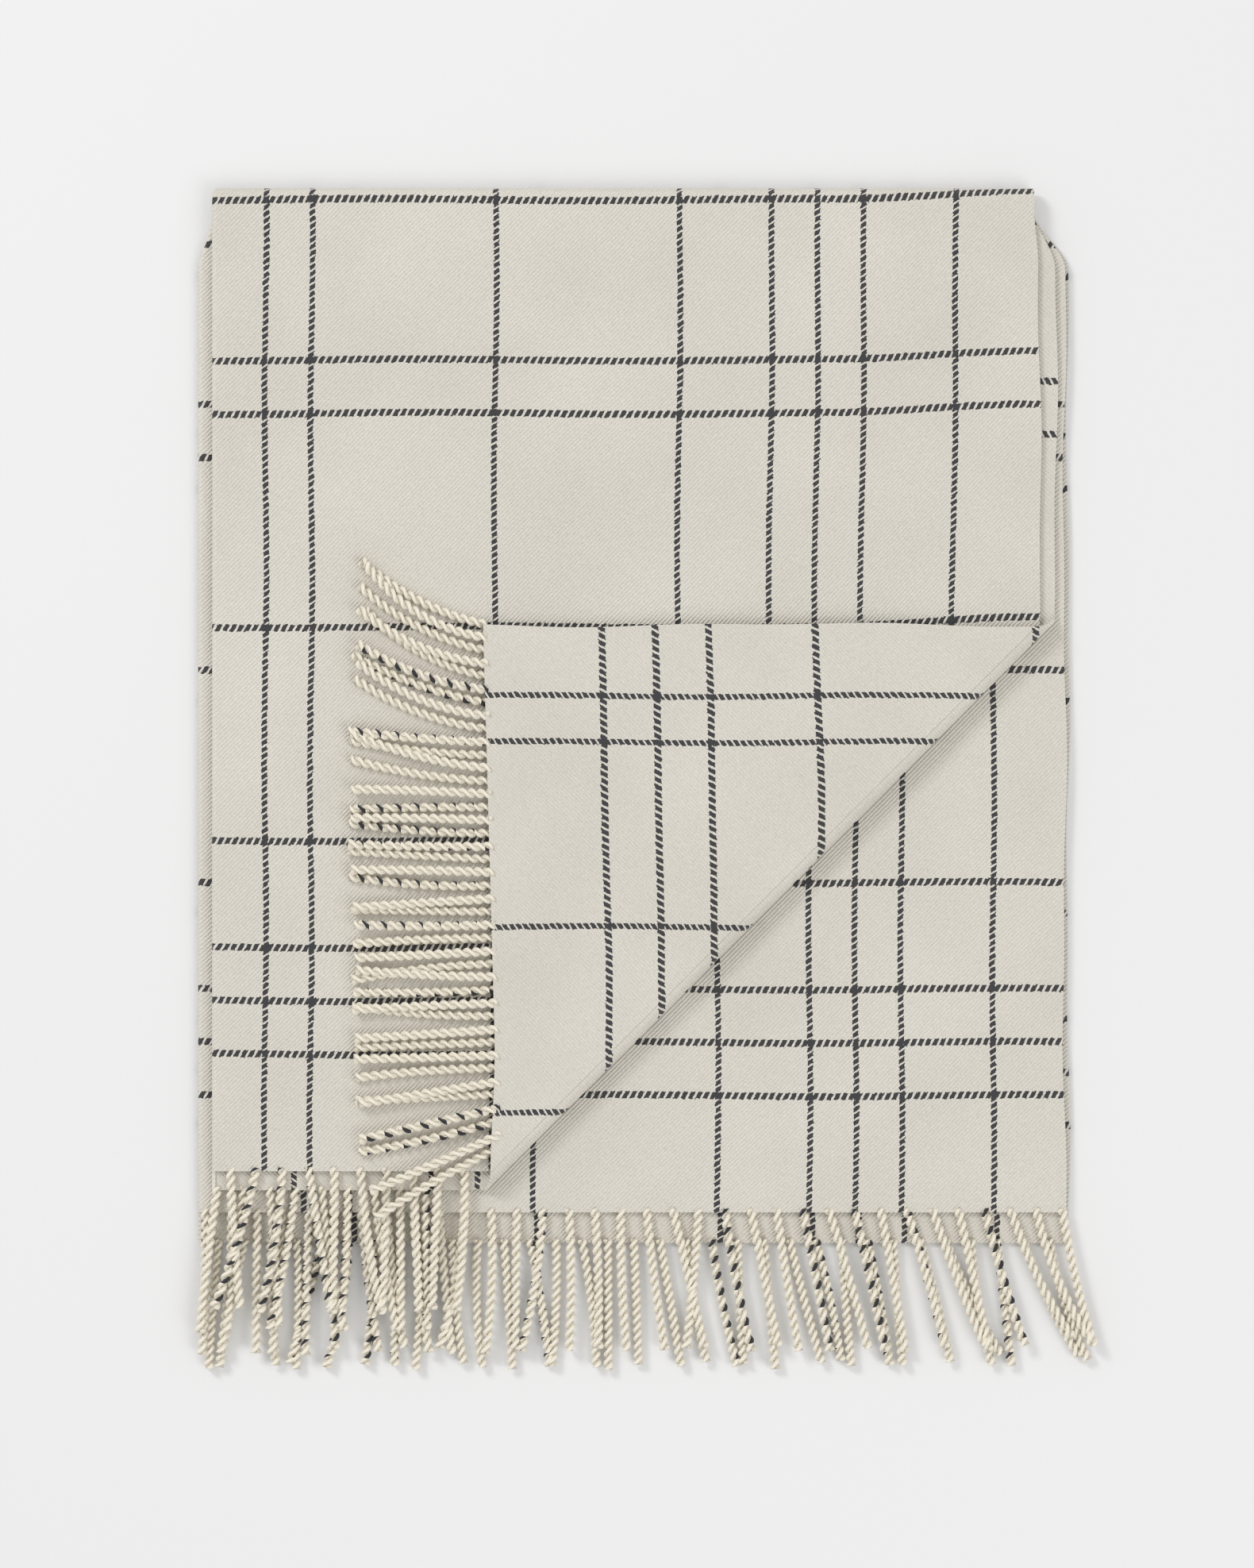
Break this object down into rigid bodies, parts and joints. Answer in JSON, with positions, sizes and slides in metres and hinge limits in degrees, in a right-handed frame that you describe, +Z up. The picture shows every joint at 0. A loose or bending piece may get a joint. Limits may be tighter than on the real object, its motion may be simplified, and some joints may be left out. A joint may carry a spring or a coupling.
{
  "type": "folded throw blanket",
  "caption": "Rectangular woven wool throw with a windowpane check and twisted fringes, folded in four with one corner turned back.",
  "frame": {"origin": "centre of the folded outline, fringe included, on the surface it lies on", "axes": "+Z up through the layers, +Y from the fringe towards the main fold, +X towards the free long edges"},
  "size_m": [0.6752, 0.909, 0.026],
  "materials": {
    "checked_wool": "brushed twill, cream with charcoal windowpane lines",
    "twisted_fringe": "twisted wool tassels, cream with some charcoal yarns"
  },
  "bodies": {
    "lower_half": {"bottom_panel": "checked_wool", "lower_inner_panel": "checked_wool", "lower_side_fold": "checked_wool", "main_roll_core": "checked_wool", "main_roll_outer": "checked_wool", "bottom_fringe": "twisted_fringe", "lower_inner_fringe": "twisted_fringe"},
    "upper_half": {"upper_inner_panel": "checked_wool", "top_panel": "checked_wool", "upper_side_fold": "checked_wool", "upper_inner_fringe": "twisted_fringe", "top_fringe": "twisted_fringe"},
    "corner_flap": {"corner_flap_under": "checked_wool", "corner_flap_face": "checked_wool", "corner_roll_core": "checked_wool", "corner_roll_outer": "checked_wool", "flap_fringe_under": "twisted_fringe", "flap_fringe_face": "twisted_fringe"}
  },
  "joints": [
    {"name": "main_fold", "type": "hinge", "parent": "lower_half", "child": "upper_half", "pos_m": [0, 0.4459, 0.0086], "axis": [-1, 0, 0], "range_deg": [0, 175]},
    {"name": "corner_turnback", "type": "hinge", "parent": "upper_half", "child": "corner_flap", "pos_m": [0.09685, -0.09685, 0.0174], "axis": [0.7071, 0.7071, 0], "range_deg": [0, 180]}
  ]
}
